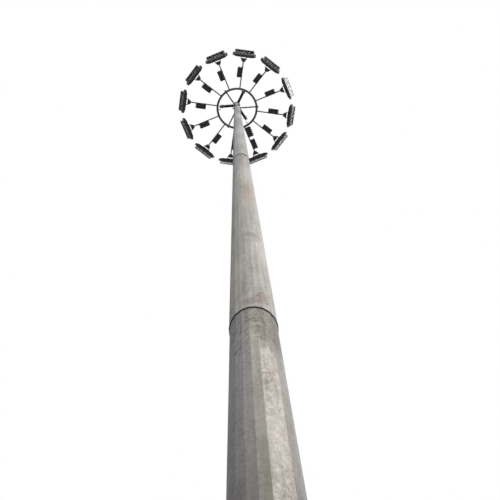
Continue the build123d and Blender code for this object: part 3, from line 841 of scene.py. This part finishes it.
drop = np.linspace((ROPE_CIRCLE, 0, rope_high.z), (ROPE_CIRCLE, 0, rope_low.z), 150)
hanging = piece("hoist_rope_strands", copies(rope(drop), head_thirds), wire)
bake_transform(hanging)
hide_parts("hoist_ropes")
piece("rope_head_runs", copies(rope(head_run()), head_thirds), wire, "mast")

# ---------------- lamp ring
# Three bent pipes with flanged ends are bolted into one ring, and a lug in the middle of each takes a rope
# in a swaged socket. Galvanised and dull, and made dark with painted shade.
RING_RADIUS = 0.540
RING_PIPE = 0.03015
JOINT_BOLT = 0.034
JOINT_HALF = 0.008
PIPE_BEAD = 0.0035

# Painted shade: the ring's zinc is made dark, as seen from below against the sky.
ring_zinc = zinc("dull_galvanised_pipe", "#57585B", "#393A3C", roughness=0.6, metallic=0.12, cloud=0.12)[0]
dress(ring_zinc, "ring_segment_1", "ring_segment_2", "ring_segment_3")
pivots = np.array([joint["pos_m"] for joint in frame["joints"] if joint["type"] == "hinge"])
ring_z = pivots[0, 2]
joint_turns = turns(circle(3))

joint_spots = [(dr, dz) for dr in (-JOINT_BOLT, JOINT_BOLT) for dz in (-JOINT_BOLT, JOINT_BOLT)]
joint_places = [place((RING_RADIUS + dr, JOINT_HALF, ring_z + dz), z=(0, -1, 0)) for dr, dz in joint_spots]
joint_bolts = copies(bolt(0.019, 0.0075, 0.006, 2 * JOINT_HALF, 0.014), joint_places)
piece("ring_joint_bolts", copies(joint_bolts, joint_turns), anchor_zinc, "carriage")

round_bead = weld(about_z(RING_PIPE + 0.001, 0, circle(24)), (0, 0, 1), PIPE_BEAD, closed=True)
bead_places = [place((RING_RADIUS, y, ring_z), z=(0, -1, 0)) for y in (-JOINT_HALF, JOINT_HALF)]
plate_beads = copies(round_bead, bead_places)
piece("ring_plate_welds", copies(plate_beads, joint_turns), ring_zinc, "carriage")

socket_nut = joined(hexagon(0.030, 0.014), lathe([(0.010, 0.013), (0.010, 0.019), (0.008, 0.021)], 16))
ferrule = lathe([(0.0115, 0), (0.0105, 0.006), (0.0075, 0.020), (0.0062, 0.026)], 20)
rope_socket = joined(
    copies(socket_nut, place((ROPE_CIRCLE, 0, ring_z - 0.025), z=(0, 0, -1))),
    copies(ferrule, place((ROPE_CIRCLE, 0, rope_low.z))),
)
piece("rope_sockets", copies(rope_socket, head_thirds), anchor_zinc, "carriage")

# ---------------- lamp arms and brackets
# Twelve dull galvanised pipes are welded radially to the ring. Each ends in a fan plate and a cross plate
# with two ears, powder coated dark grey, between which the lamp turns on its pivot bolt.
PIVOT_RADIUS = np.hypot(*pivots[0, :2])
ARM_PIPE = 0.01685
CROSS_PLATE_BACK = PIVOT_RADIUS - 0.038
EAR_OUTER = 0.089

arm_zinc = zinc("dull_galvanised_arm_pipe", "#6B6C6E", "#4A4B4C", 0.58, metallic=0.12, cloud=0.12)[0]
dress(arm_zinc, "lamp_arms")
arm_turns = turns(np.arctan2(pivots[:, 1], pivots[:, 0]))


def powder(name, pale, dark, roughness, dust):
    """Textured polyester powder coat: fine orange peel, chalked pale in clouds, with dust on top faces."""
    material, tree, here = new_material(name)
    peel = add(tree, "TexNoise", Vector=here, Scale=1 / 0.002381)
    chalk = add(tree, "TexNoise", Vector=here, Scale=1 / 0.07143, Detail=5, Roughness=0.6)
    chalk = add(tree, "MapRange", Value=chalk, From_Min=0.35, From_Max=0.65)
    colour = add(tree, "Mix", data_type="RGBA", Factor_Float=chalk, A_Color=dark, B_Color=pale)
    upward = add(tree, "SeparateXYZ", Vector=add(tree, "NewGeometry").outputs["Normal"]).outputs["Z"]
    colour = layer(colour, "#8E8A82", (upward, 0.35, 0.95, 0, dust), blend="MIX")
    relief = add(tree, "Bump", Strength=0.15, Distance=0.0006, Height=peel)
    coat = add(tree, "BsdfPrincipled", Base_Color=colour, Roughness=roughness, Normal=relief)
    coat.inputs["Specular IOR Level"].default_value = 0.25
    add(tree, "OutputMaterial", Surface=coat)
    return material


bracket_coat = powder("grey_powder_coat_on_steel", "#454648", "#2F3031", roughness=0.5, dust=0.35)
dress(bracket_coat, "lamp_brackets")

# Where the arm's pipe meets the ring's: how far out the ring and the round of its pipe put each point
arm_y, arm_z = about_z(ARM_PIPE + 0.001, 0, circle(24)).T[:2]
saddle_r = np.sqrt((RING_RADIUS + np.sqrt(RING_PIPE**2 - arm_z**2)) ** 2 - arm_y**2)
arm_ends = []
for r in (saddle_r, np.full(24, CROSS_PLATE_BACK)):
    arm_ends.append(weld(np.stack([r, arm_y, ring_z + arm_z], axis=1), (1, 0, 0), PIPE_BEAD, closed=True))
piece("arm_welds", copies(joined(*arm_ends), arm_turns), arm_zinc, "carriage")

pin_end = joined(
    lathe([(0.0125, 0), (0.0125, 0.002)]),
    raised(hexagon(0.019, 0.0065), 0.002),
    lathe([(0.0045, 0.007), (0.0045, 0.0105), (0.0035, 0.0115)], 14),
)
pin_ends = copies(pin_end, both_sides(PIVOT_RADIUS, EAR_OUTER, ring_z))
piece("pivot_nuts", copies(pin_ends, arm_turns), anchor_zinc, "carriage")

# ---------------- driver and junction boxes
# Each arm carries a die-cast driver box under two straps, and one a larger junction box: lid flange, ribs
# and lid screws, powder coated blue-black, and blanked cable glands of black nylon.
BOX_STRAP_TOP = ring_z - ARM_PIPE - 0.0002
BOX_TOP = BOX_STRAP_TOP - 0.006
BOX_SIDE = -0.062
BOX_RIB_STEP = 0.026
RIB_DEPTH = 0.007
RIB_HALF = 0.0018
LID_RIM = 0.006
DRIVER_MIDDLE = 0.994
DRIVER_SIZE = (0.265, 0.130, 0.090)
DRIVER_SHIFT = 0.0785
JUNCTION_MIDDLE = 0.715
JUNCTION_SIZE = (0.270, 0.154, 0.110)
JUNCTION_ARM = 2

box_coat = powder("blue_black_powder_coat_on_casting", "#3A3C44", "#26272D", roughness=0.45, dust=0.3)
dress(box_coat, "driver_boxes", "junction_box")
gland_nylon = mottled("black_nylon", "#1B1B1C", "#353536", size=0.01667, detail=5, roughness=0.75)

gland_neck = [(0.0105, 0.005), (0.0105, 0.009)]
gland_cap = [(0.0118, 0.010), (0.0118, 0.018), (0.0085, 0.023), (0.005, 0.0245)]
gland = joined(hexagon(0.024, 0.006), lathe(gland_neck + gland_cap, 20))
small_screw = lathe([(0.005, 0), (0.005, 0.0018), (0.0036, 0.003)], 10)
strap_nut = joined(lathe([(0.009, 0), (0.009, 0.0016)], 20), raised(hexagon(0.013, 0.0055), 0.0016))


def cast_box(middle, size, gland_places, arms):
    """What stands proud of the box on each arm: lid flange with ribs, screws with nuts, and glands."""
    length, width, height = size
    x0, x1 = middle - length / 2, middle + length / 2
    y0, y1 = BOX_SIDE - width / 2, BOX_SIDE + width / 2
    foot = BOX_TOP - height
    lid = foot + 0.018
    rim_low, rim_high = (x0 - LID_RIM, y0 - LID_RIM, lid), (x1 + LID_RIM, y1 + LID_RIM, lid + 0.008)
    flange = rounded_block(rim_low, rim_high, 0.0025)
    rib_low, rib_high = (-RIB_HALF, y0 + 0.008, foot - RIB_DEPTH), (RIB_HALF, y1 - 0.008, foot + 0.001)
    rib_places = [place((x, 0, 0)) for x in np.linspace(x0 + 0.02, x1 - 0.02, int(length / BOX_RIB_STEP))]
    corners = [(x, y) for x in (x0 - 0.0005, middle, x1 + 0.0005) for y in (y0 - 0.0005, y1 + 0.0005)]
    screws = copies(small_screw, [place((x, y, lid), z=(0, 0, -1)) for x, y in corners])
    strap_places = [place((x, BOX_SIDE + 0.014, BOX_STRAP_TOP)) for x in (x0 + 0.040, x1 - 0.040)]
    fasteners = joined(screws, copies(strap_nut, strap_places))
    ribs = copies(rounded_block(rib_low, rib_high, 0.001, 2), rib_places)
    return [copies(part, arms) for part in (joined(flange, ribs), fasteners, copies(gland, gland_places))]


driver_spots = [(BOX_SIDE + dy, BOX_TOP - 0.035) for dy in (-0.033, 0.033)]
driver_glands = facing_out(DRIVER_MIDDLE + DRIVER_SIZE[0] / 2, driver_spots)
side_y, side_z = BOX_SIDE - JUNCTION_SIZE[1] / 2, BOX_TOP - 0.048
junction_x = JUNCTION_MIDDLE + np.linspace(-0.09, 0.09, 4)
junction_glands = [place((x, side_y, side_z), z=(0, -1, 0)) for x in junction_x]

# The driver box on the junction box's arm sits further out.
driver_places = arm_turns.copy()
driver_places[JUNCTION_ARM] = driver_places[JUNCTION_ARM] @ place((DRIVER_SHIFT, 0, 0))
drivers = cast_box(DRIVER_MIDDLE, DRIVER_SIZE, driver_glands, driver_places)
junction = cast_box(JUNCTION_MIDDLE, JUNCTION_SIZE, junction_glands, arm_turns[JUNCTION_ARM])
lids, fasteners, box_glands = [joined(*parts) for parts in zip(drivers, junction)]
piece("box_lids_and_ribs", lids, box_coat, "carriage")
piece("box_fasteners", fasteners, anchor_zinc, "carriage")
piece("box_glands", box_glands, gland_nylon, "carriage")

# ---------------- floodlight housings
# Twelve LED floodlights: a hollow cast spine, which turns on the bracket, and in front of it a shallow
# finned case. Pressure die cast aluminium, powder coated charcoal; fine ribs run across the spine.
AIM = radians(22)
PANEL_FRONT = 0.147
SPINE_HALF_HEIGHT = 0.060
SPINE_FRONT_HALF = 0.320
SPINE_REAR_HALF = 0.220
SPINE_REAR = 0.022
SPINE_FRONT = 0.091
SPINE_SHOULDER = 0.057
RIB_STEP = 0.020
RIB_HEIGHT = 0.006

housing_coat = powder("charcoal_powder_coat_on_aluminium", "#4B4C4F", "#313234", roughness=0.5, dust=0.4)
tip_down = place((PIVOT_RADIUS, 0, ring_z), z=(sin(AIM), 0, cos(AIM)), x=(cos(AIM), 0, -sin(AIM)))
lamp_places = arm_turns @ tip_down


def spine_ribs():
    """Fine ribs across the top and foot of the spine: each a low bar with a sloped rear end, as long as the
    spine is deep at its place."""
    bars = []
    for y in np.arange(-14, 15) * RIB_STEP:
        slant = (abs(y) - SPINE_REAR_HALF) / (SPINE_FRONT_HALF - SPINE_REAR_HALF)
        start = SPINE_REAR + 0.012 + max(0.0, slant) * (SPINE_SHOULDER - SPINE_REAR)
        ends = np.array([[start, SPINE_FRONT], [start + RIB_HEIGHT, SPINE_FRONT]])
        for side in (-1, 1):
            loops = np.empty((2, 4, 3))
            loops[:, :, 0] = ends[:, [0, 1, 1, 0]]
            loops[:, :, 1] = y + np.array([-1, -1, 1, 1]) * RIB_HALF
            loops[:, :, 2] = side * (SPINE_HALF_HEIGHT + np.array([-0.001, RIB_HEIGHT]))[:, None]
            bars.append(shell(loops))
    return joined(*bars)


screw_spots = [(y, z) for y in (-0.2525, 0.2525) for z in (-0.115, 0, 0.115)]
screw_spots += [(y, z) for y in (-0.085, 0.085) for z in (-0.1325, 0.1325)]
bezel_screws = copies(small_screw, facing_out(PANEL_FRONT, screw_spots))
rear_gland = copies(gland, place((SPINE_REAR, -0.122, 0), z=(-1, 0, 0), x=(0, -1, 0)))
lamp_numbers = range(1, len(pivots) + 1)


def fit_lamps(*fittings):
    """A copy of each fitting, given as its name, shape, material and slot, on every floodlight. The slot is not
    used.
    """
    for number, lamp_place in zip(lamp_numbers, lamp_places):
        for name, shape, material, slot in fittings:
            piece("%s_%d" % (name, number), copies(shape, lamp_place), material, "lamp_%d" % number)


dress(housing_coat, *["floodlight_%d" % number for number in lamp_numbers])
fit_lamps(
    ("spine_ribs", spine_ribs(), housing_coat, "housing"),
    ("bezel_screws", bezel_screws, anchor_zinc, "housing"),
    ("rear_gland", rear_gland, gland_nylon, "housing"),
)

# ---------------- LED modules
# Behind the glass lie four aluminium boards under black solder mask, of eighteen LEDs each. A moulded lens
# of dark smoked acrylic, dull on its outside, covers every LED's yellow chip, in even rows.
BOARD_BACK = 0.098
BOARD_FRONT = 0.102
BOARD_HALF = (0.118, 0.062)
BOARD_PLACES = (0.121, 0.064)
LENS_STEP = 0.0385
LENS_RADIUS = 0.0155
LENS_HEIGHT = 0.0085
CHIP_HALF = 0.0028
CHIP_HEIGHT = 0.0012

solder_mask = mottled("black_solder_mask", "#26282B", "#2B2D30", size=0.02857)
phosphor = mottled("led_phosphor", "#A88934", "#B8963A", size=0.02857)
acrylic = mottled("smoked_acrylic_lens", "#505052", "#58585A", size=0.02857, Specular_IOR_Level=0.2)

bow = np.linspace(0, radians(80), 5)
lens = lathe(np.column_stack([LENS_RADIUS * np.cos(bow), LENS_HEIGHT * np.sin(bow)]), 12)
chip = rounded_block((-CHIP_HALF, -CHIP_HALF, 0), (CHIP_HALF, CHIP_HALF, CHIP_HEIGHT), 0.0004, 2)
board_y, board_z = BOARD_PLACES
half_y, half_z = BOARD_HALF
rows = [(row, line) for row in (np.arange(6) - 2.5) * LENS_STEP for line in (np.arange(3) - 1) * LENS_STEP]
boards = []
spots = []
for y, z in [(y, z) for y in (-board_y, board_y) for z in (-board_z, board_z)]:
    low, high = (BOARD_BACK, y - half_y, z - half_z), (BOARD_FRONT, y + half_y, z + half_z)
    boards.append(rounded_block(low, high, 0.0012, 2))
    spots += [(y + row, z + line) for row, line in rows]
fit_lamps(
    ("led_boards", joined(*boards), solder_mask, "housing"),
    ("led_lenses", copies(lens, facing_out(BOARD_FRONT, spots)), acrylic, "glass"),
    ("led_chips", copies(chip, facing_out(BOARD_FRONT, spots)), phosphor, "housing"),
)


# ---------------- floodlight glass
# A 5 mm pane of clear toughened soda-lime glass sits behind the lip of each case, on a bead of silicone,
# and carries a film of dust.
def toughened_glass():
    """Clear glass, roughened by dust in patches of 11 cm. The dust keeps it from mirroring the sky as clean
    glass would at so flat an angle, so its index is far below the 1.5 of bare glass."""
    material, tree, here = new_material("toughened_soda_lime_glass")
    dust = add(tree, "TexNoise", Vector=here, Scale=9, Detail=6, Roughness=0.6)
    rough = add(tree, "MapRange", Value=dust, From_Min=0.4, From_Max=0.8, To_Min=0.2, To_Max=0.32)
    bulk = {"Base_Color": "#F2F3F4", "IOR": 1.045, "Transmission_Weight": 1.0}
    add(tree, "OutputMaterial", Surface=add(tree, "BsdfPrincipled", Roughness=rough, **bulk))
    return material


dress(toughened_glass(), *["floodlight_glass_%d" % number for number in lamp_numbers])
